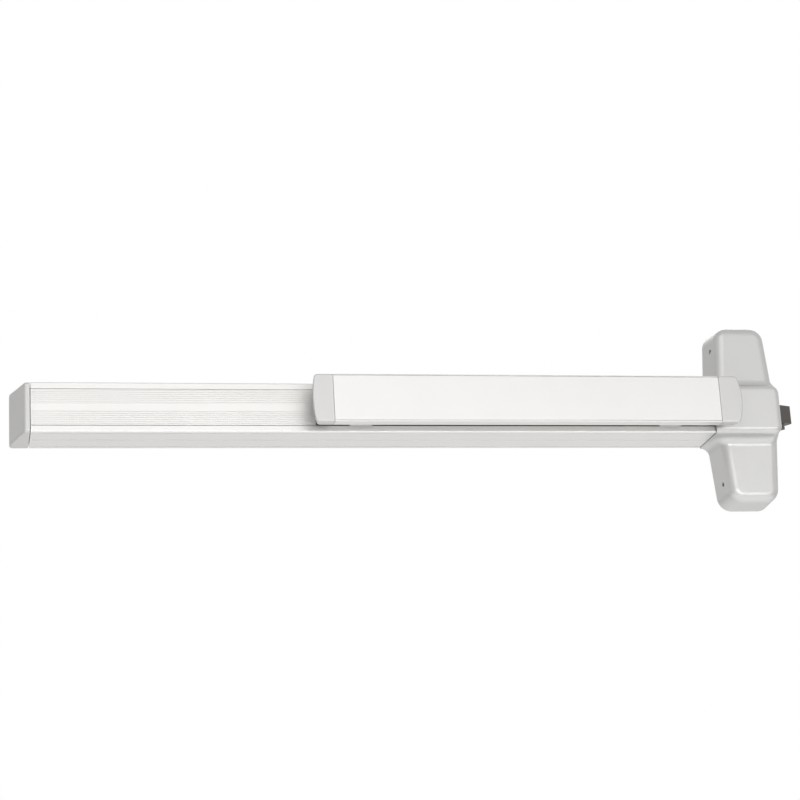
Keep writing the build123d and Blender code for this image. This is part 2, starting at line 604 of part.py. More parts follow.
def make_crank(side, x0):
    y0 = -CRANK_PIVOT_DEPTH
    bar_angle = -CRANK_SWING / 2
    plate = (CRANK_PLATE_INNER, CRANK_PLATE_INNER + CRANK_PLATE_THICKNESS)
    arms = arm_plate(x0, y0, CRANK_BAR_ARM, bar_angle, plate)
    arms += arm_plate(x0, y0, CRANK_ROD_ARM, bar_angle + 90, plate)
    hub_half = EAR_INNER - FREE_GAP
    body = pin_z(x0, y0, (-hub_half, hub_half), CRANK_HUB_RADIUS)
    for piece in both_sides(arms):
        body += piece
    sleeve_radius = CRANK_PIVOT_RADIUS + RUNNING_GAP + BUSHING_WALL
    body -= pin_z(x0, y0, (-hub_half - 1, hub_half + 1), sleeve_radius + FIT_GAP)
    bar_pin = (x0 + CRANK_BAR_ARM * math.cos(HALF_SWING), BAR_PIN_Y)
    rod_pin = (x0 + ROD_PIN_X, ROD_PIN_Y)
    for x, y in (bar_pin, rod_pin):
        body -= pin_z(x, y, (-hub_half - 1, hub_half + 1), CRANK_PIN_RADIUS + FIT_GAP)
    write(f"bell_crank_{side}", body)
    sleeve = pin_z(x0, y0, (FREE_GAP, hub_half), sleeve_radius)
    sleeve -= pin_z(x0, y0, (0, hub_half + 1), CRANK_PIVOT_RADIUS + RUNNING_GAP)
    write(f"crank_bushings_{side}", *both_sides(sleeve))
    bar_half = CHANNEL_HALF + FREE_GAP
    long_pin = pin_z(*bar_pin, (-bar_half, bar_half), CRANK_PIN_RADIUS)
    for cap in both_sides(pin_z(*bar_pin, (bar_half, bar_half + PIN_HEAD_THICKNESS), CRANK_PIN_RADIUS + 1.2)):
        long_pin += cap
    rod_half = plate[1] + FREE_GAP
    short_pin = pin_z(*rod_pin, (-rod_half, rod_half), CRANK_PIN_RADIUS)
    write(f"crank_pins_{side}", long_pin, short_pin)


# ---- push bar, its channel and its caps ----
def bar_block(x, inset):
    """The bar's outside shape, drawn in by a wall."""
    half = BAR_HALF_HEIGHT - inset
    return block(x, (-BAR_PROJECTION + inset, BAR_BACK_Y), (-half, half))


def rounded_bar_block(x):
    body = bar_block(x, 0)
    front = [e for e in body.edges().filter_by(Axis.X) if near(e.center().Y, -BAR_PROJECTION)]
    return fillet(front, BAR_EDGE_RADIUS)


BAR_X = (BAR_LEFT_SEAM_X, BAR_SEAM_X)
CHANNEL_X = (BAR_X[0] - CHANNEL_END_PAST_SEAM, BAR_X[1] + CHANNEL_END_PAST_SEAM)
CHANNEL_SCREW_X = (BAR_X[0] + CHANNEL_SCREW_FROM_END, BAR_X[1] - CHANNEL_SCREW_FROM_END)
RIB_Z = (CHANNEL_HALF + FREE_GAP, CHANNEL_HALF + FREE_GAP + BAR_RIB_THICKNESS)
CHANNEL_SCREW_Y = BAR_SKIN_Y + BAR_RIB_DEPTH / 2 + CHANNEL_THICKNESS / 2


def make_push_bar():
    body = rounded_bar_block(BAR_X) - bar_block(BAR_X, BAR_WALL)
    half = BAR_HALF_HEIGHT
    lip_z = (half - BAR_RETURN_LIP, half - BAR_WALL / 2)
    lip = block(BAR_X, (BAR_BACK_Y - BAR_RETURN_THICKNESS, BAR_BACK_Y), lip_z)
    rib = block(BAR_X, (BAR_SKIN_Y - BAR_WALL / 2, BAR_SKIN_Y + BAR_RIB_DEPTH), RIB_Z)
    for piece in both_sides(lip) + both_sides(rib):
        body += piece
    crease = half - BAR_CREASE_FROM_EDGE
    crease_z = (crease - BAR_CREASE_WIDTH / 2, crease + BAR_CREASE_WIDTH / 2)
    groove = block(BAR_X, (-BAR_PROJECTION - 1, -BAR_PROJECTION + BAR_CREASE_CUT), crease_z)
    for cut in both_sides(groove):
        body -= cut
    for x in CHANNEL_SCREW_X:
        hole = pin_z(x, CHANNEL_SCREW_Y, (0, RIB_Z[1] + 1), CHANNEL_SCREW_RADIUS + FASTENER_GAP)
        for cut in both_sides(hole):
            body -= cut
    write("push_bar", body)


def cap_screw_place(outward, seam):
    return seam - outward * BAR_TONGUE_LENGTH / 2


def make_channel():
    web_back = CHANNEL_FRONT_Y + CHANNEL_THICKNESS
    body = block(CHANNEL_X, (CHANNEL_FRONT_Y, web_back), (-CHANNEL_HALF, CHANNEL_HALF))
    flange_z = (CHANNEL_HALF - CHANNEL_THICKNESS, CHANNEL_HALF)
    for flange in both_sides(block(CHANNEL_X, (CHANNEL_FRONT_Y, CHANNEL_BACK_Y), flange_z)):
        body += flange
    reach = CRANK_BAR_ARM * math.cos(HALF_SWING)
    drift = (CRANK_BAR_ARM - reach) / 2
    slot_radius = CRANK_PIN_RADIUS + FREE_GAP + CRANK_BAR_ARM * ARC_ERROR
    across = (-CHANNEL_HALF - 1, CHANNEL_HALF + 1)
    for x0 in (CRANK_LEFT_X, CRANK_RIGHT_X):
        body -= slot_z(x0 + reach + drift, BAR_PIN_Y, drift, 0, slot_radius, across)
    for x in CHANNEL_SCREW_X:
        body -= pin_z(x, CHANNEL_SCREW_Y, across, CHANNEL_SCREW_RADIUS + FASTENER_GAP)
    for outward, seam in ((-1, BAR_X[0]), (1, BAR_X[1])):
        x = cap_screw_place(outward, seam)
        body -= pin_y(x, 0, (CHANNEL_FRONT_Y - 1, web_back + 1), SCREW_RADIUS + FASTENER_GAP)
    write("push_bar_channel", body)
    screws = []
    for x in CHANNEL_SCREW_X:
        low = CHANNEL_HALF - CHANNEL_THICKNESS - 1
        screw = pin_z(x, CHANNEL_SCREW_Y, (low, RIB_Z[1]), CHANNEL_SCREW_RADIUS)
        top = RIB_Z[1] + CHANNEL_SCREW_HEAD_THICKNESS
        screw += pin_z(x, CHANNEL_SCREW_Y, (RIB_Z[1], top), CHANNEL_SCREW_HEAD_RADIUS)
        screws += both_sides(screw)
    write("channel_screws", *screws)


def cap_outline(seam, outward, size, inset, y):
    """A bar cap's outline at depth y: square at the seam, bowed at its far end, which leans in going back."""
    half = BAR_HALF_HEIGHT - inset
    lean = BAR_CAP_LEAN * (y + BAR_PROJECTION) / BAR_HEAD_DEPTH
    length, bulge = size
    flat = seam + outward * (length - inset - lean)
    start = seam + outward * BAR_CAP_SEAM
    corners = [(start, y, -half), (start, y, half), (flat, y, half), (flat, y, -half)]
    ends = [Edge.make_line(Vector(*corners[i]), Vector(*corners[i + 1])) for i in (0, 1)]
    bow = Vector(flat + outward * bulge, y, 0)
    arc = Edge.make_three_point_arc(Vector(*corners[2]), bow, Vector(*corners[3]))
    last = Edge.make_line(Vector(*corners[3]), Vector(*corners[0]))
    return Wire([ends[0], ends[1], arc, last])


def cap_block(seam, outward, size, inset, back):
    """A bar cap's outside shape from its front to this depth, drawn in by a wall."""
    front = -BAR_PROJECTION + inset
    outlines = [cap_outline(seam, outward, size, inset, y) for y in (front, back)]
    return Part() + Solid.make_loft(outlines, ruled=True)


def make_bar_cap(name, outward, seam, size):
    """Writes one end cap of the push bar and returns the screw that holds it."""
    length = size[0]
    body = cap_block(seam, outward, size, 0, BAR_BACK_Y)
    middle = seam + outward * length / 2
    corner = [e for e in body.edges() if not near((e @ 0).Y, (e @ 1).Y)]
    corner = [e for e in corner if outward * (e.center().X - middle) > 0]
    body = fillet(corner, BAR_CAP_CORNER_RADIUS)
    rim = [e for e in body.edges() if along(e, lambda p: near(p.Y, -BAR_PROJECTION))]
    rim = [e for e in rim if not near(e.center().X, seam + outward * BAR_CAP_SEAM)]
    body = fillet(rim, BAR_CAP_EDGE_RADIUS)
    body -= cap_block(seam, outward, size, BAR_CAP_WALL, BAR_BACK_Y + 1)
    tongue_half = CHANNEL_HALF - CHANNEL_THICKNESS - FREE_GAP
    web_back = CHANNEL_FRONT_Y + CHANNEL_THICKNESS
    tongue_y = (web_back, web_back + BAR_TONGUE_THICKNESS)
    inner = seam - outward * BAR_TONGUE_LENGTH
    outer = seam + outward * (length - BAR_CAP_LEAN - BAR_CAP_WALL / 2)
    body += block(sorted((inner, outer)), tongue_y, (-tongue_half, tongue_half))
    root = seam + outward * (CHANNEL_END_PAST_SEAM + FREE_GAP)
    root_y = (-BAR_PROJECTION + BAR_CAP_WALL / 2, tongue_y[1])
    body += block(sorted((root, outer)), root_y, (-tongue_half, tongue_half))
    x = cap_screw_place(outward, seam)
    body -= pin_y(x, 0, (tongue_y[0] - 1, tongue_y[1] + 1), SCREW_RADIUS + FASTENER_GAP)
    write(name, body)
    shank = pin_y(x, 0, (CHANNEL_FRONT_Y, tongue_y[1]), SCREW_RADIUS)
    return shank + pin_y(x, 0, (tongue_y[1], tongue_y[1] + SCREW_HEAD_THICKNESS), SCREW_HEAD_RADIUS)


# ---- glides and bumpers ----
def make_guides():
    front = -RAIL_DEPTH - GUIDE_PROUD
    lip_back = -RAIL_DEPTH + RAIL_WALL
    inner = CHANNEL_HALF + FREE_GAP
    bumper_front = BAR_BACK_Y + BAR_TRAVEL + BUMPER_TOUCH_GAP
    pads = []
    bumpers = []
    for x0 in (GUIDE_LEFT_X, GUIDE_RIGHT_X):
        x = (x0 - GUIDE_LENGTH / 2, x0 + GUIDE_LENGTH / 2)
        pad = block(x, (front, lip_back + GUIDE_BACK), (inner, MOUTH_HALF))
        hook_z = (inner, MOUTH_HALF + GUIDE_HOOK_REACH)
        pad += block(x, (lip_back, lip_back + GUIDE_BACK), hook_z)
        pads += both_sides(pad)
        bumpers += both_sides(block(x, (bumper_front, front), (inner, MOUTH_HALF)))
    write("guide_pads", *pads)
    write("rubber_bumpers", *bumpers)


# ---- actuating rod and what it carries ----
LATCH_X, LATCH_Y = LATCH_PIVOT_X, -LATCH_PIVOT_DEPTH
DRIVE_PIN = (LATCH_X + ROD_PIN_X, LATCH_Y + CRANK_ROD_ARM * math.cos(HALF_SWING))
SPRING_END_X = SPRING_START_X + SPRING_LENGTH
COUPLER_X = (COUPLER_LEFT_X, COUPLER_LEFT_X + COUPLER_LENGTH)
LINK_Z = (LATCH_TOP + LINK_ABOVE_LATCH, LATCH_TOP + LINK_ABOVE_LATCH + LINK_THICKNESS)
ROD_SLOT_RADIUS = CRANK_PIN_RADIUS + FREE_GAP + CRANK_ROD_ARM * ARC_ERROR


def pin_slot(x, y, z):
    """The slot that a turning pin drives: long across the rod, close along it."""
    return slot_z(x, y + ROD_PIN_SHIFT / 2, 0, ROD_PIN_SHIFT / 2, ROD_SLOT_RADIUS, z)


def make_rod():
    half_y, half_z = ROD_THICKNESS / 2, ROD_HEIGHT / 2
    eyes = [x0 + ROD_PIN_X for x0 in (CRANK_LEFT_X, CRANK_RIGHT_X)]
    body = block((eyes[0] - ROD_EYE_HALF - ROD_END_PAST_EYE, COUPLER_X[1]), (ROD_Y - half_y, ROD_Y + half_y),
                 (-half_z, half_z))
    for x in eyes:
        eye = block((x - ROD_EYE_HALF, x + ROD_EYE_HALF), (ROD_Y - ROD_EYE_HALF, ROD_Y + ROD_EYE_HALF),
                    (-half_z, half_z))
        body += fillet(eye.edges().filter_by(Axis.Z), ROD_EYE_HALF * 0.5)
    for x in eyes:
        body -= pin_slot(x, ROD_PIN_Y, (-half_z - 1, half_z + 1))
    collar_x = SPRING_END_X + COLLAR_THICKNESS / 2
    coupler_x = sum(COUPLER_X) / 2
    for x in (collar_x, coupler_x):
        body -= pin_y(x, 0, (ROD_Y - 9, ROD_Y + 9), CROSS_PIN_RADIUS + FIT_GAP)
    write("actuating_rod", body)

    window_y = (ROD_Y - half_y - FIT_GAP, ROD_Y + half_y + FIT_GAP)
    window_z = (-half_z - FIT_GAP, half_z + FIT_GAP)
    collar = pin_x(ROD_Y, 0, (SPRING_END_X, SPRING_END_X + COLLAR_THICKNESS), COLLAR_HALF)
    collar -= block((SPRING_END_X - 1, SPRING_END_X + COLLAR_THICKNESS + 1), window_y, window_z)
    collar -= pin_y(collar_x, 0, (ROD_Y - 9, ROD_Y + 9), CROSS_PIN_RADIUS + FIT_GAP)
    write("spring_collar", collar)
    write("collar_pin", pin_y(collar_x, 0, (ROD_Y - COLLAR_HALF, ROD_Y + COLLAR_HALF), CROSS_PIN_RADIUS))

    coupler_y = (ROD_Y - COUPLER_HALF, ROD_Y + COUPLER_HALF)
    coupler = block(COUPLER_X, coupler_y, (-half_z - COUPLER_FLOOR, LINK_Z[0]))
    coupler = fillet(coupler.edges().filter_by(Axis.Z), 1.5)
    coupler -= block((COUPLER_X[0] - 1, COUPLER_X[1] + 1), window_y, window_z)
    coupler -= pin_y(coupler_x, 0, (ROD_Y - 9, ROD_Y + 9), CROSS_PIN_RADIUS + FIT_GAP)
    screw_x = [coupler_x + side * LINK_SCREW_SPREAD / 2 for side in (-1, 1)]
    screw_y = ROD_Y + LINK_SCREW_SET_BACK
    thread_z = (LINK_Z[0] - LINK_SCREW_DEPTH, LINK_Z[0] + 1)
    for x in screw_x:
        coupler -= pin_z(x, screw_y, thread_z, LINK_SCREW_RADIUS + FASTENER_GAP)
    write("rod_coupler", coupler)
    write("coupler_pin", pin_y(coupler_x, 0, (ROD_Y - COUPLER_HALF, ROD_Y + COUPLER_HALF), CROSS_PIN_RADIUS))

    link_x = (COUPLER_X[0], DRIVE_PIN[0] + LINK_END_PAST_PIN)
    link = block(link_x, coupler_y, LINK_Z)
    link = fillet(link.edges().filter_by(Axis.Z), 1.5)
    link -= pin_slot(*DRIVE_PIN, (LINK_Z[0] - 1, LINK_Z[1] + 1))
    screws = []
    for x in screw_x:
        link -= pin_z(x, screw_y, (LINK_Z[0] - 1, LINK_Z[1] + 1), LINK_SCREW_RADIUS + FASTENER_GAP)
        screw = pin_z(x, screw_y, (LINK_Z[0] - LINK_SCREW_DEPTH + 0.5, LINK_Z[1]), LINK_SCREW_RADIUS)
        screw += pin_z(x, screw_y, (LINK_Z[1], LINK_Z[1] + LINK_SCREW_HEAD_THICKNESS), LINK_SCREW_HEAD_RADIUS)
        screws.append(screw)
    write("retractor_link", link)
    write("link_screws", *screws)


def coil(centre, direction, radius, wire, length, turns):
    """A helical wire of this many turns, length measured over the wire."""
    rise = length - wire
    start = Vector(*centre) + Vector(*direction) * (wire / 2)
    path = Helix(rise / turns, rise, radius, center=start, direction=Vector(*direction))
    section = Plane(origin=path @ 0, z_dir=path % 0) * Circle(wire / 2)
    return sweep(section, path=path, is_frenet=True)


def make_rod_spring():
    inner = math.hypot(ROD_THICKNESS / 2, ROD_HEIGHT / 2) + SPRING_ROD_GAP
    start = (SPRING_START_X + FREE_GAP, ROD_Y, 0)
    length = SPRING_LENGTH - 2 * FREE_GAP
    spring = coil(start, (1, 0, 0), inner + SPRING_WIRE / 2, SPRING_WIRE, length, SPRING_TURNS)
    write("rod_spring", spring)


# ---- latch, deadlatch and their pin ----
UPPER_EAR = LATCH_TOP + LATCH_SPRING_SPACE
DEAD_TOP = LATCH_BOTTOM - DEADLATCH_BELOW_LATCH
DEAD_BOTTOM = DEAD_TOP - DEADLATCH_THICKNESS
LOWER_EAR = DEAD_BOTTOM - DEADLATCH_SPRING_SPACE


def round_latch(angle, radius):
    """The point at this angle and radius from the latch pivot."""
    turn = math.radians(angle)
    return (LATCH_X + radius * math.cos(turn), LATCH_Y + radius * math.sin(turn))


def make_latch():
    z = (LATCH_BOTTOM, LATCH_TOP)
    far = LATCH_RADIUS * 2
    last = LATCH_FACE_ANGLE + LATCH_SECTOR_ANGLE
    wedge = plate_z([(LATCH_X, LATCH_Y), round_latch(LATCH_FACE_ANGLE, far), round_latch(last, far)], z)
    sector = pin_z(LATCH_X, LATCH_Y, z, LATCH_RADIUS) & wedge
    tips = [round_latch(LATCH_FACE_ANGLE, LATCH_RADIUS), round_latch(last, LATCH_RADIUS)]
    noses = [e for e in sector.edges().filter_by(Axis.Z)
             if any(near(e.center().X, x) and near(e.center().Y, y) for x, y in tips)]
    sector = fillet(noses, LATCH_NOSE_RADIUS)
    body = sector + pin_z(LATCH_X, LATCH_Y, z, LATCH_HUB_RADIUS)
    body -= pin_z(LATCH_X, LATCH_Y, (z[0] - 1, z[1] + 1), LATCH_PIN_RADIUS + RUNNING_GAP)
    pin_foot = LATCH_TOP - LATCH_DRIVE_PIN_DEPTH_IN_BOLT
    body -= pin_z(*DRIVE_PIN, (pin_foot, LATCH_TOP + 1), CRANK_PIN_RADIUS + FIT_GAP)
    hole_z = (-LATCH_TOP - 1, SPRING_TANG - LATCH_TOP + FREE_GAP)
    hole = tang_hole(LATCH_SPRING_WIRE, LATCH_SPRING_TURNS, hole_z)
    body -= Pos(LATCH_X, LATCH_Y, 0) * Rot(180, 0, 0) * hole
    write("latch_bolt", body)
    write("latch_drive_pin", pin_z(*DRIVE_PIN, (pin_foot, LINK_Z[1] + FREE_GAP), CRANK_PIN_RADIUS))


def make_deadlatch():
    arm = Box(DEADLATCH_RADIUS, 2 * DEADLATCH_TIP_HALF_WIDTH, DEADLATCH_THICKNESS,
              align=(Align.MIN, Align.CENTER, Align.MIN))
    arm = Pos(LATCH_X, LATCH_Y, DEAD_BOTTOM) * Rot(0, 0, DEADLATCH_TIP_ANGLE) * arm
    arm &= pin_z(LATCH_X, LATCH_Y, (DEAD_BOTTOM, DEAD_TOP), DEADLATCH_RADIUS)
    tips = [e for e in arm.edges().filter_by(Axis.Z)
            if math.hypot(e.center().X - LATCH_X, e.center().Y - LATCH_Y) > DEADLATCH_RADIUS - 1]
    arm = fillet(tips, LATCH_NOSE_RADIUS)
    body = arm + pin_z(LATCH_X, LATCH_Y, (DEAD_BOTTOM, LATCH_BOTTOM - FREE_GAP), LATCH_HUB_RADIUS)
    body -= pin_z(LATCH_X, LATCH_Y, (DEAD_BOTTOM - 1, LATCH_TOP), LATCH_PIN_RADIUS + RUNNING_GAP)
    hole_z = (DEAD_BOTTOM - 1, DEAD_BOTTOM + SPRING_TANG + FREE_GAP)
    body -= Pos(LATCH_X, LATCH_Y, 0) * tang_hole(DEAD_SPRING_WIRE, DEAD_SPRING_TURNS, hole_z)
    write("deadlatch_lever", body)


def make_latch_pin():
    top = UPPER_EAR + CHASSIS_EAR_THICKNESS
    bottom = LOWER_EAR - CHASSIS_EAR_THICKNESS
    clip_z = bottom - CLIP_THICKNESS
    body = pin_z(LATCH_X, LATCH_Y, (clip_z - FREE_GAP, top), LATCH_PIN_RADIUS)
    body += pin_z(LATCH_X, LATCH_Y, (top, top + LATCH_PIN_HEAD_THICKNESS), LATCH_PIN_HEAD_RADIUS)
    write("latch_pivot_pin", body)
    write("latch_pin_clip", clip_ring(LATCH_X, LATCH_Y, clip_z, LATCH_PIN_RADIUS))


LATCH_SPRING_Z = (LATCH_TOP + FREE_GAP, UPPER_EAR - FREE_GAP)
DEAD_SPRING_Z = (LOWER_EAR + FREE_GAP, DEAD_BOTTOM - FREE_GAP)


def spring_radius(wire):
    return LATCH_PIN_RADIUS + FREE_GAP + wire / 2 + SPRING_PIN_GAP


def tang_hole(wire, turns, z):
    """The hole, about the origin, that takes the tang of a spring whose tang points up."""
    hole = pin_z(spring_radius(wire), SPRING_ARM, z, wire / 2 + FREE_GAP)
    return Rot(0, 0, turns * 360) * hole


def torsion_spring(z, wire, turns, tang_end):
    """A coil round the latch pin: a free arm at its start, and at its end an arm bent up into a tang."""
    radius = spring_radius(wire)
    around = 2 * math.pi * radius * turns
    steepness = (z[1] - z[0] - wire) / (around + 2 * SPRING_ARM)
    slope = math.atan(steepness)
    rise = around * steepness
    low = z[0] + wire / 2 + SPRING_ARM * steepness
    coil_edge = Helix(rise / turns, rise, radius, center=(0, 0, low)).edges()[0]
    free_arm = Edge.make_line(coil_edge @ 0 - (coil_edge % 0) * (SPRING_ARM / math.cos(slope)), coil_edge @ 0)
    leaving = coil_edge % 1
    level = Vector(leaving.X, leaving.Y, 0).normalized()
    bend = wire * BEND_TO_WIRE
    bend_reach = bend * (1 - math.sin(slope))
    bend_start = coil_edge @ 1 + leaving * ((SPRING_ARM - bend_reach) / math.cos(slope))
    bend_end = bend_start + level * bend_reach + Vector(0, 0, bend * math.cos(slope))
    arm = Edge.make_line(coil_edge @ 1, bend_start)
    elbow = Edge.make_tangent_arc(bend_start, leaving, bend_end)
    tang = Edge.make_line(bend_end, Vector(bend_end.X, bend_end.Y, tang_end))
    path = Wire([free_arm, coil_edge, arm, elbow, tang])
    return sweep(Plane(origin=path @ 0, z_dir=path % 0) * Circle(wire / 2), path=path)


def make_latch_springs():
    centre = Pos(LATCH_X, LATCH_Y, 0)
    # The latch's spring is the same shape upside down, so that its tang points down into the bolt.
    flipped = (-LATCH_SPRING_Z[1], -LATCH_SPRING_Z[0])
    spring = torsion_spring(flipped, LATCH_SPRING_WIRE, LATCH_SPRING_TURNS, SPRING_TANG - LATCH_TOP)
    write("latch_spring", centre * Rot(180, 0, 0) * spring)
    spring = torsion_spring(DEAD_SPRING_Z, DEAD_SPRING_WIRE, DEAD_SPRING_TURNS, DEAD_BOTTOM + SPRING_TANG)
    write("deadlatch_spring", centre * spring)


# ---- centre case ----
def hump_half(y):
    return HUMP_BACK_HALF - (HUMP_BACK_HALF - HUMP_FRONT_HALF) * (-y) / CASE_DEPTH


def case_shape(inset, edge, corner, ridge_radius, collar):
    """The case's outside shape drawn in by a wall: tapered wings, the hump over them, and rounded edges."""
    def kink(y):
        return hump_half(y) - inset

    def wing_outline(y):
        lean = CASE_DRAFT * (-y) + inset
        tip, side, high = CASE_TIP_HALF_WIDTH - lean, CASE_HALF_WIDTH - lean, CASE_HALF_HEIGHT - lean
        m = kink(y)
        points = [(-tip, high), (tip, high), (side, m), (side, -m), (tip, -high), (-tip, -high), (-side, -m),
                  (-side, m)]
        return Wire.make_polygon([Vector(x, y, z) for x, z in points], close=True)

    def hump_outline(y):
        right = CASE_HALF_WIDTH - CASE_DRAFT * (-y) - inset
        m = kink(y)
        points = [(-collar, m), (right, m), (right, -m), (-collar, -m)]
        return Wire.make_polygon([Vector(x, y, z) for x, z in points], close=True)

    wing_front, hump_front = -WING_DEPTH + inset, -CASE_DEPTH + inset
    wing = Solid.make_loft([wing_outline(0), wing_outline(wing_front)], ruled=True)
    runs_to_front = [e for e in wing.edges() if not near((e @ 0).Y, (e @ 1).Y)]
    tips = [e for e in runs_to_front if along(e, lambda p: abs(p.Z) > CASE_HALF_HEIGHT * 0.8)]
    wing = wing.fillet(corner, tips)
    hump = Solid.make_loft([hump_outline(0), hump_outline(hump_front)], ruled=True)
    body = (Part() + wing + hump).solids()[0]

    def on_flank(p):
        return near(abs(p.Z), kink(p.Y))

    def on_wing_front(p):
        return near(p.Y, wing_front)

    def on_wing_left(p):
        return near(p.X, -(CASE_HALF_WIDTH - CASE_DRAFT * (-p.Y) - inset))

    def on_right(p):
        return near(p.X, CASE_HALF_WIDTH - CASE_DRAFT * (-p.Y) - inset)

    def on_hump_front(p):
        return near(p.Y, hump_front)

    flank = [e for e in body.edges() if along(e, on_flank)]
    cove = [e for e in flank if along(e, on_wing_front) or along(e, on_wing_left)]
    rim = [e for e in body.edges() if along(e, on_wing_front) and not along(e, on_flank)]
    side = [e for e in flank if along(e, on_right) and e.center().Y < wing_front]
    body = body.fillet(edge, cove + rim + side)
    front = [e for e in body.edges() if along(e, on_hump_front)]
    ridge = [e for e in front if along(e, on_flank) or along(e, on_right)]
    body = body.fillet(ridge_radius, ridge)
    return Part() + body


def side_x(y, z):
    """Half width of the case's outside at depth y and height z."""
    share = (abs(z) - hump_half(y)) / (CASE_HALF_HEIGHT - hump_half(y))
    at_door = CASE_HALF_WIDTH - (CASE_HALF_WIDTH - CASE_TIP_HALF_WIDTH) * max(share, 0)
    return at_door - CASE_DRAFT * (-y)


CHASSIS_TAB_REACH = COVER_SCREW_DEPTH + CHASSIS_TAB_PAST_SCREW
TAB_X = side_x(-CHASSIS_TAB_REACH, COVER_SCREW_Z + CHASSIS_TAB_HALF) - CASE_WALL - COVER_BOSS_HEIGHT
COVER_HEAD_X = side_x(-COVER_SCREW_DEPTH, COVER_SCREW_Z) - COVER_SCREW_RECESS


def corners_of_cover_screws():
    return [(side, z) for side in (-1, 1) for z in (-COVER_SCREW_Z, COVER_SCREW_Z)]


def side_pin(side, z, near_x, far_x, radius):
    """A round bar along X on one side of the case, from near_x to far_x off the middle."""
    return pin_x(-COVER_SCREW_DEPTH, z, sorted((side * near_x, side * far_x)), radius)


def make_case_cover():
    edge, corner, ridge = CASE_EDGE_RADIUS, CASE_CORNER_RADIUS, HUMP_EDGE_RADIUS
    outer = case_shape(0, edge, corner, ridge, COLLAR_REACH)
    inset = CASE_WALL
    inner = case_shape(inset, edge - inset, corner - inset, ridge - inset, COLLAR_REACH + 1)
    body = outer - inner
    for side, z in corners_of_cover_screws():
        boss = side_pin(side, z, TAB_X, CASE_HALF_WIDTH, COVER_BOSS_RADIUS) & outer
        body += boss
    for side, z in corners_of_cover_screws():
        body -= side_pin(side, z, TAB_X - 1, CASE_HALF_WIDTH, COVER_SCREW_RADIUS + FASTENER_GAP)
        seat = COVER_HEAD_X - COVER_SCREW_HEAD_THICKNESS
        body -= side_pin(side, z, seat, CASE_HALF_WIDTH, COVER_SCREW_HEAD_RADIUS + FREE_GAP)
    opening_x = (CASE_HALF_WIDTH - OPENING_CUT, CASE_HALF_WIDTH + 1)
    opening_z = (DEAD_BOTTOM - OPENING_GAP, LATCH_TOP + OPENING_GAP)
    body -= block(opening_x, (-OPENING_FRONT, -OPENING_BACK), opening_z)
    write("case_cover", body)


def make_cover_screws():
    screws = []
    for side, z in corners_of_cover_screws():
        seat = COVER_HEAD_X - COVER_SCREW_HEAD_THICKNESS
        screw = side_pin(side, z, seat - COVER_SCREW_LENGTH, seat, COVER_SCREW_RADIUS)
        screw += side_pin(side, z, seat, COVER_HEAD_X, COVER_SCREW_HEAD_RADIUS)
        slot_x = sorted((side * (COVER_HEAD_X - COVER_SCREW_SLOT_DEPTH), side * COVER_HEAD_X))
        slot_y = (-COVER_SCREW_DEPTH - COVER_SCREW_HEAD_RADIUS, -COVER_SCREW_DEPTH + COVER_SCREW_HEAD_RADIUS)
        slot_z_range = (z - COVER_SCREW_SLOT_HALF, z + COVER_SCREW_SLOT_HALF)
        screws.append(screw - block(slot_x, slot_y, slot_z_range))
    write("case_cover_screws", *screws)


def make_chassis():
    draw_in = CASE_WALL + CHASSIS_EDGE_GAP + CASE_DRAFT * CHASSIS_THICKNESS
    side, tip = CASE_HALF_WIDTH - draw_in, CASE_TIP_HALF_WIDTH - draw_in
    high = CASE_HALF_HEIGHT - draw_in
    points = [(-tip, high), (tip, high), (side, HUMP_BACK_HALF), (side, -HUMP_BACK_HALF), (tip, -high),
              (-tip, -high), (-side, -HUMP_BACK_HALF), (-side, HUMP_BACK_HALF)]
    body = plate_y(points, (-CHASSIS_THICKNESS, 0))
    corners = [e for e in body.edges().filter_by(Axis.Y) if abs(e.center().Z) > high - 1]
    body = fillet(corners, CASE_CORNER_RADIUS)
    tongue_y = (-RAIL_WALL - CHASSIS_THICKNESS, -RAIL_WALL)
    body += block(CHASSIS_TONGUE_X, tongue_y, (-CHASSIS_TONGUE_HALF, CHASSIS_TONGUE_HALF))
    for z in ((UPPER_EAR, UPPER_EAR + CHASSIS_EAR_THICKNESS), (LOWER_EAR - CHASSIS_EAR_THICKNESS, LOWER_EAR)):
        ear = block((LATCH_X - CHASSIS_EAR_RADIUS, LATCH_X + CHASSIS_EAR_RADIUS), (LATCH_Y, 0), z)
        body += ear + pin_z(LATCH_X, LATCH_Y, z, CHASSIS_EAR_RADIUS)
    body -= pin_z(LATCH_X, LATCH_Y, (LOWER_EAR - 9, UPPER_EAR + 9), LATCH_PIN_RADIUS + RUNNING_GAP)
    for side_sign, z in corners_of_cover_screws():
        tab_x = sorted((side_sign * (TAB_X - CHASSIS_TAB_THICKNESS), side_sign * TAB_X))
        body += block(tab_x, (-CHASSIS_TAB_REACH, 0), (z - CHASSIS_TAB_HALF, z + CHASSIS_TAB_HALF))
    for side_sign, z in corners_of_cover_screws():
        body -= side_pin(side_sign, z, TAB_X - 9, TAB_X + 1, COVER_SCREW_RADIUS + FASTENER_GAP)
    for x in (-DOOR_HOLE_X, DOOR_HOLE_X):
        for z in (-DOOR_HOLE_Z, DOOR_HOLE_Z):
            body -= pin_y(x, z, (-CHASSIS_THICKNESS - 1, 1), DOOR_HOLE_RADIUS)
    for hole in screw_holes(TIE_SCREWS, (-9, 0)):
        body -= hole
    write("case_chassis", body)
    write("rail_tie_screws", *[wall_screw(x, z, tongue_y[0]) for x, z in TIE_SCREWS])


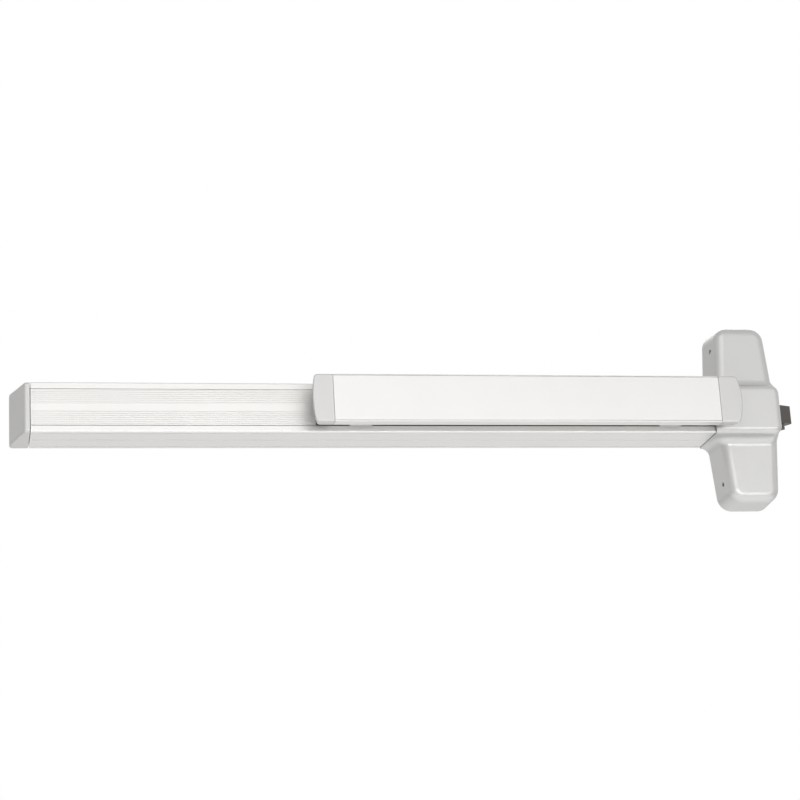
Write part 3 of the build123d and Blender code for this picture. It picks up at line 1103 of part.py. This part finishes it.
def main():
    os.makedirs("parts", exist_ok=True)
    make_rail()
    make_rail_cover()
    make_end_cap()
    make_end_bracket()
    make_baseplate()
    make_crank_bracket("crank_bracket_left", CRANK_LEFT_X)
    make_crank_bracket("crank_bracket_right", CRANK_RIGHT_X)
    make_pivot_pins()
    make_spring_anchor()
    make_crank("left", CRANK_LEFT_X)
    make_crank("right", CRANK_RIGHT_X)
    make_push_bar()
    make_channel()
    left_screw = make_bar_cap("push_bar_cap_left", -1, BAR_X[0], BAR_CAP_LEFT)
    right_screw = make_bar_cap("push_bar_cap_right", 1, BAR_X[1], BAR_CAP_RIGHT)
    write("bar_cap_screws", left_screw, right_screw)
    make_guides()
    make_rod()
    make_rod_spring()
    make_latch()
    make_deadlatch()
    make_latch_pin()
    make_latch_springs()
    make_case_cover()
    make_cover_screws()
    make_chassis()


main()
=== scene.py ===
import json
import math

import bpy
from mathutils import Matrix, Vector

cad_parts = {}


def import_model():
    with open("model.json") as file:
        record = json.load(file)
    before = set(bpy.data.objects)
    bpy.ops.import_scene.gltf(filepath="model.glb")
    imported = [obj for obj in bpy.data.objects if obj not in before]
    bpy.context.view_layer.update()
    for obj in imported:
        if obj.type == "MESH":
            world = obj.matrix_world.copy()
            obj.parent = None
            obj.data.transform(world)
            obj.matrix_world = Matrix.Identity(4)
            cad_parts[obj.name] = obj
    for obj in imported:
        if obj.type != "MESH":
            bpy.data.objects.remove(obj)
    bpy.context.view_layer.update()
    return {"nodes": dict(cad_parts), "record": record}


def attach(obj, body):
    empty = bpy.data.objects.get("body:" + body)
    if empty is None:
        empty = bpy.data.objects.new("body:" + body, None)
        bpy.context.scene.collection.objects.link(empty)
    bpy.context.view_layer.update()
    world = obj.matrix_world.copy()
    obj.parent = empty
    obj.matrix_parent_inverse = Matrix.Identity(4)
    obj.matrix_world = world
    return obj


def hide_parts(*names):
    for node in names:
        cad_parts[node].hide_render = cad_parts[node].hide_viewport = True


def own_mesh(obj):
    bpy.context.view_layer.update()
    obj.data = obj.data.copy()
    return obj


# ---- camera, solved from the parallel edges of the rail, the bar and the case ----
CAMERA_AT = (-0.87287, -2.24677, -0.65213)
CAMERA_YAW = 12.239
CAMERA_PITCH = 16.437
CAMERA_ROLL = 3.292
CAMERA_LENS = 98.28
SENSOR_WIDTH = 36.0
NEAREST_SEEN = 0.05
FARTHEST_SEEN = 200.0

# ---- studio ----
FLOOR_Z = -1.05
FLOOR_SIZE = 40.0
FLOOR_COLOUR = (0.80, 0.80, 0.80)
FLOOR_ROUGHNESS = 0.9
FLOOR_GLOW = 0.95
FLOOR_GLOW_SHARE = 0.70
WORLD_STRENGTH = 0.12
SEEN_WORLD_STRENGTH = 1.0
WHITE = (1.0, 1.0, 1.0, 1.0)
# name: place, target, width and height, watts
LIGHTS = {
    "key": ((-1.1, -2.6, 1.9), (-0.4, 0.0, 0.0), 2.6, 1.8, 16.0),
    "front_fill": ((0.5, -3.2, 0.5), (-0.3, 0.0, 0.0), 2.8, 2.0, 6.0),
    "front_low": ((-0.1, -3.0, -0.35), (-0.3, 0.0, 0.0), 3.0, 0.9, 30.0),
    "low_front": ((-0.3, -0.75, -1.02), (-0.3, -0.75, 0.0), 3.6, 2.0, 16.0),
    "low_back": ((-0.3, 1.45, -1.02), (-0.3, 1.45, 0.0), 3.6, 2.4, 10.5),
    "back_rim": ((0.6, 2.4, 1.6), (-0.4, 0.0, 0.0), 2.0, 2.0, 12.0),
}

# ---- finishes ----
ROUGHNESS_SPREAD = 0.05
EDGE_EASE = 0.0003
EDGE_SAMPLES = 4
GRAIN_RANGE = (0.3, 0.7)
GRAIN_DETAIL = 3.0
GRAIN_STRENGTH = 0.25
MOTTLE_SCALE = 14.0
MOTTLE_DETAIL = 2.0
# a Mix node's sockets for colours go by number, because its sockets for other types have the same names
MIX_FACTOR = 0
MIX_FIRST_COLOUR = 6
MIX_SECOND_COLOUR = 7
MIX_COLOUR_RESULT = 2
EVEN = (1.0, 1.0, 1.0)
ALONG_BAR = (0.02, 1.0, 1.0)
# slot: colour, metallic, roughness, grain scale, grain stretch, grain height, mottling
FINISHES = {
    "rail_aluminium": ((0.765, 0.757, 0.740), 0.45, 0.36, 2600.0, ALONG_BAR, 0.00002, 0.03),
    "case_metal": ((0.600, 0.596, 0.588), 0.45, 0.37, 1500.0, EVEN, 0.00003, 0.03),
    "end_cap_metal": ((0.610, 0.604, 0.595), 0.40, 0.40, 1500.0, EVEN, 0.00003, 0.03),
    "zinc_plated_steel": ((0.60, 0.61, 0.62), 1.0, 0.38, 900.0, EVEN, 0.00003, 0.08),
    "bright_steel": ((0.66, 0.66, 0.66), 1.0, 0.28, 1200.0, EVEN, 0.00002, 0.05),
    "spring_steel": ((0.30, 0.30, 0.31), 1.0, 0.34, 900.0, EVEN, 0.00002, 0.08),
    "latch_steel": ((0.105, 0.095, 0.088), 0.8, 0.42, 1100.0, EVEN, 0.00003, 0.10),
    "black_steel": ((0.020, 0.020, 0.020), 0.6, 0.50, 1100.0, EVEN, 0.00003, 0.10),
    "grey_nylon": ((0.62, 0.62, 0.60), 0.0, 0.48, 1200.0, EVEN, 0.00003, 0.04),
    "grey_rubber": ((0.45, 0.45, 0.44), 0.0, 0.75, 1500.0, EVEN, 0.00006, 0.06),
    "bronze": ((0.52, 0.36, 0.18), 1.0, 0.35, 1500.0, EVEN, 0.00003, 0.08),
}


def node(tree, kind, **sockets):
    made = tree.nodes.new(kind)
    for name, value in sockets.items():
        made.inputs[name.replace("_", " ")].default_value = value
    return made


def ramp(tree, source, low, high, dark, light):
    """Maps source from low..high onto dark..light, as single values."""
    made = tree.nodes.new("ShaderNodeMapRange")
    made.inputs["From Min"].default_value = low
    made.inputs["From Max"].default_value = high
    made.inputs["To Min"].default_value = dark
    made.inputs["To Max"].default_value = light
    tree.links.new(source, made.inputs["Value"])
    return made.outputs["Result"]


def noise(tree, scale, stretch, detail):
    """Noise in the piece's own space; a stretch below 1 along an axis draws the pattern out along it."""
    place = tree.nodes.new("ShaderNodeTexCoord")
    mapping = node(tree, "ShaderNodeMapping", Scale=stretch)
    tree.links.new(place.outputs["Object"], mapping.inputs["Vector"])
    made = node(tree, "ShaderNodeTexNoise", Scale=scale, Detail=detail)
    tree.links.new(mapping.outputs["Vector"], made.inputs["Vector"])
    return made.outputs["Fac"]


def shade(colour, share):
    """colour times share, as an opaque colour."""
    return (*[min(channel * share, 1.0) for channel in colour], 1.0)


def material(name, colour, metallic, rough, grain, stretch, grain_height, mottle):
    """A finish whose roughness, tint and relief all vary: fine grain over slow mottling, with eased edges."""
    made = bpy.data.materials.new(name)
    made.use_nodes = True
    tree = made.node_tree
    shader = tree.nodes["Principled BSDF"]
    shader.inputs["Metallic"].default_value = metallic
    fine = noise(tree, grain, stretch, GRAIN_DETAIL)
    slow = noise(tree, MOTTLE_SCALE, EVEN, MOTTLE_DETAIL)
    rough_out = ramp(tree, fine, *GRAIN_RANGE, rough - ROUGHNESS_SPREAD, rough + ROUGHNESS_SPREAD)
    tree.links.new(rough_out, shader.inputs["Roughness"])
    tint = tree.nodes.new("ShaderNodeMix")
    tint.data_type = "RGBA"
    tint.inputs[MIX_FIRST_COLOUR].default_value = shade(colour, 1 - mottle)
    tint.inputs[MIX_SECOND_COLOUR].default_value = shade(colour, 1 + mottle)
    tree.links.new(slow, tint.inputs[MIX_FACTOR])
    tree.links.new(tint.outputs[MIX_COLOUR_RESULT], shader.inputs["Base Color"])
    bevel = node(tree, "ShaderNodeBevel", Radius=EDGE_EASE)
    bevel.samples = EDGE_SAMPLES
    bump = node(tree, "ShaderNodeBump", Strength=GRAIN_STRENGTH, Distance=grain_height)
    tree.links.new(fine, bump.inputs["Height"])
    tree.links.new(bevel.outputs["Normal"], bump.inputs["Normal"])
    tree.links.new(bump.outputs["Normal"], shader.inputs["Normal"])
    return made


def dress(frame):
    """Each CAD node gets the finish of its slot in the record."""
    finishes = {slot: material(slot, *values) for slot, values in FINISHES.items()}
    slots = {entry["node"]: entry["material_slot"] for entry in frame["record"]["subparts"]}
    for name, piece in frame["nodes"].items():
        piece.data.materials.clear()
        piece.data.materials.append(finishes[slots[name]])


def live_spring(frame):
    """The rod's spring again, as a copy with its own mesh that rides with the frame in place of the hidden
    original.
    """
    still = frame["nodes"]["rod_spring"]
    made = bpy.data.objects.new("rod_spring_live", still.data.copy())
    bpy.context.scene.collection.objects.link(made)
    bpy.context.view_layer.update()
    made.matrix_world = still.matrix_world.copy()
    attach(made, "frame")
    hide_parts("rod_spring")
    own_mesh(made)


def camera():
    """Looks up at the device from below and to its left. The angles are in degrees."""
    yaw, pitch, roll = (math.radians(a) for a in (CAMERA_YAW, CAMERA_PITCH, CAMERA_ROLL))
    ahead = Vector((math.sin(yaw) * math.cos(pitch), math.cos(yaw) * math.cos(pitch), math.sin(pitch)))
    level = Vector((math.cos(yaw), -math.sin(yaw), 0.0))
    upright = level.cross(ahead)
    right = level * math.cos(roll) - upright * math.sin(roll)
    up = level * math.sin(roll) + upright * math.cos(roll)
    data = bpy.data.cameras.new("camera")
    data.lens = CAMERA_LENS
    data.sensor_width = SENSOR_WIDTH
    data.clip_start = NEAREST_SEEN
    data.clip_end = FARTHEST_SEEN
    made = bpy.data.objects.new("camera", data)
    bpy.context.scene.collection.objects.link(made)
    turn = Matrix((right, up, -ahead)).transposed()
    made.matrix_world = Matrix.Translation(Vector(CAMERA_AT)) @ turn.to_4x4()
    bpy.context.scene.camera = made


def light(name, place, target, width, height, watts):
    """A soft rectangular lamp at place that shines towards target and isn't seen itself."""
    data = bpy.data.lights.new(name, "AREA")
    data.shape = "RECTANGLE"
    data.size = width
    data.size_y = height
    data.energy = watts
    made = bpy.data.objects.new(name, data)
    bpy.context.scene.collection.objects.link(made)
    made.visible_camera = False
    made.location = place
    made.rotation_euler = (Vector(target) - Vector(place)).to_track_quat("-Z", "Y").to_euler()


def seen_directly(tree):
    """1 for what the camera, a reflection or a clear piece sees, and 0 for light that surfaces pass on."""
    path = tree.nodes.new("ShaderNodeLightPath")
    seen = path.outputs["Is Camera Ray"]
    for kind in ("Is Glossy Ray", "Is Transmission Ray"):
        either = tree.nodes.new("ShaderNodeMath")
        either.operation = "MAXIMUM"
        tree.links.new(seen, either.inputs[0])
        tree.links.new(path.outputs[kind], either.inputs[1])
        seen = either.outputs[0]
    return seen


def floor():
    """A pale floor: part of what is seen is its own white, and the rest takes the lamps and the shadow."""
    bpy.ops.mesh.primitive_plane_add(size=FLOOR_SIZE, location=(0.0, 0.0, FLOOR_Z))
    made = bpy.context.object
    made.name = "floor"
    look = bpy.data.materials.new("floor")
    look.use_nodes = True
    tree = look.node_tree
    shader = tree.nodes["Principled BSDF"]
    shader.inputs["Base Color"].default_value = (*FLOOR_COLOUR, 1)
    shader.inputs["Roughness"].default_value = FLOOR_ROUGHNESS
    shader.inputs["Specular IOR Level"].default_value = 0.0
    glow = node(tree, "ShaderNodeEmission", Color=WHITE, Strength=FLOOR_GLOW)
    share = tree.nodes.new("ShaderNodeMath")
    share.operation = "MULTIPLY"
    share.inputs[1].default_value = FLOOR_GLOW_SHARE
    tree.links.new(seen_directly(tree), share.inputs[0])
    pick = tree.nodes.new("ShaderNodeMixShader")
    tree.links.new(share.outputs[0], pick.inputs[0])
    tree.links.new(shader.outputs[0], pick.inputs[1])
    tree.links.new(glow.outputs[0], pick.inputs[2])
    tree.links.new(pick.outputs[0], tree.nodes["Material Output"].inputs[0])
    made.data.materials.append(look)


def world():
    """White where it is seen directly, and softer as a lamp."""
    made = bpy.data.worlds.new("studio")
    bpy.context.scene.world = made
    made.use_nodes = True
    tree = made.node_tree
    tree.nodes.clear()
    soft = node(tree, "ShaderNodeBackground", Color=WHITE, Strength=WORLD_STRENGTH)
    white = node(tree, "ShaderNodeBackground", Color=WHITE, Strength=SEEN_WORLD_STRENGTH)
    pick = tree.nodes.new("ShaderNodeMixShader")
    out = tree.nodes.new("ShaderNodeOutputWorld")
    tree.links.new(seen_directly(tree), pick.inputs[0])
    tree.links.new(soft.outputs[0], pick.inputs[1])
    tree.links.new(white.outputs[0], pick.inputs[2])
    tree.links.new(pick.outputs[0], out.inputs[0])


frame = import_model()
dress(frame)
live_spring(frame)
camera()
for light_name, values in LIGHTS.items():
    light(light_name, *values)
floor()
world()
bpy.context.scene.view_settings.view_transform = "Standard"
